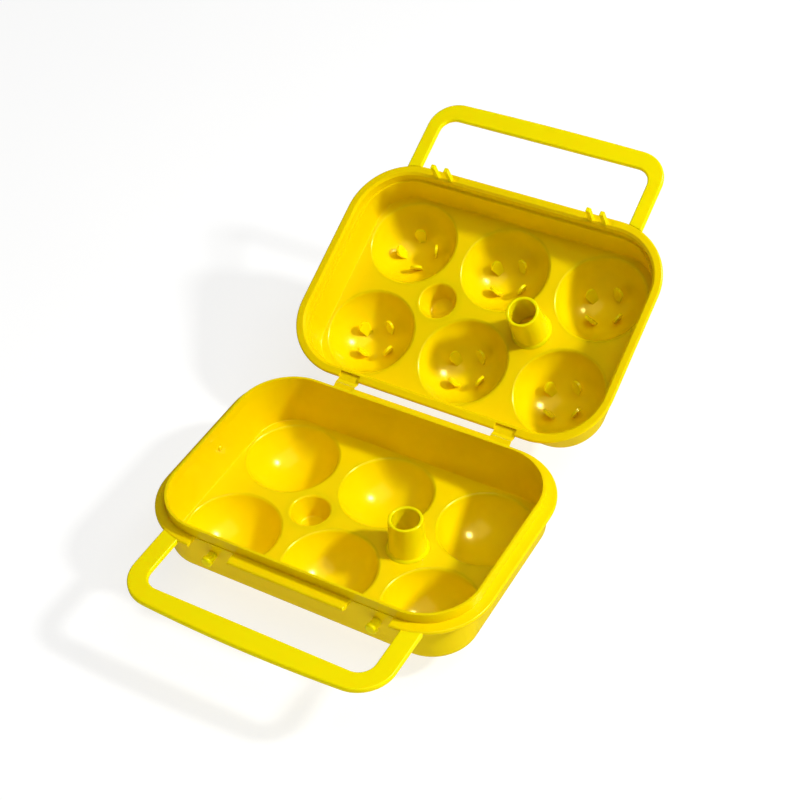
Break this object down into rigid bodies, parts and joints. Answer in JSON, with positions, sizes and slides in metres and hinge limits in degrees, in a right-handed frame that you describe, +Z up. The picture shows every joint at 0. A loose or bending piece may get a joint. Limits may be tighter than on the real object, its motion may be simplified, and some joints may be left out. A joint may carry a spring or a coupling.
{
  "type": "egg keeper",
  "caption": "Hinged two-half plastic egg keeper: round moulded cups in both trays, sprung fingers in the lid, strap hinges, snap latches and a carry handle on each half.",
  "frame": {"origin": "middle of the stored part's outline in plan, on the plane that the base's cups stand on", "axes": "+X along the hinge, +Y from the base towards the open lid, +Z up, square to the base's rim"},
  "size_m": [0.16, 0.287, 0.1056],
  "materials": {
    "yellow_plastic": "gloss"
  },
  "bodies": {
    "base": {"base_cup_front_left": "yellow_plastic", "base_cup_front_middle": "yellow_plastic", "base_cup_front_right": "yellow_plastic", "base_cup_rear_left": "yellow_plastic", "base_cup_rear_middle": "yellow_plastic", "base_cup_rear_right": "yellow_plastic", "base_dimple": "yellow_plastic", "base_handle": "yellow_plastic", "base_hinge_left": "yellow_plastic", "base_hinge_right": "yellow_plastic", "base_post": "yellow_plastic", "base_stud_left": "yellow_plastic", "base_stud_right": "yellow_plastic", "base_tray": "yellow_plastic"},
    "lid": {"lid_cup_front_left": "yellow_plastic", "lid_cup_front_middle": "yellow_plastic", "lid_cup_front_right": "yellow_plastic", "lid_cup_rear_left": "yellow_plastic", "lid_cup_rear_middle": "yellow_plastic", "lid_cup_rear_right": "yellow_plastic", "lid_dimple": "yellow_plastic", "lid_fingers_front_left": "yellow_plastic", "lid_fingers_front_middle": "yellow_plastic", "lid_fingers_front_right": "yellow_plastic", "lid_fingers_rear_left": "yellow_plastic", "lid_fingers_rear_middle": "yellow_plastic", "lid_fingers_rear_right": "yellow_plastic", "lid_fork_left": "yellow_plastic", "lid_fork_right": "yellow_plastic", "lid_handle": "yellow_plastic", "lid_hinge_left": "yellow_plastic", "lid_hinge_right": "yellow_plastic", "lid_post": "yellow_plastic", "lid_tray": "yellow_plastic"}
  },
  "joints": [
    {"name": "lid_fold", "type": "hinge", "parent": "base", "child": "lid", "pos_m": [0, 0.00736, 0.0368], "axis": [1, 0, 0], "range_deg": [-27.1, 152.9]}
  ]
}
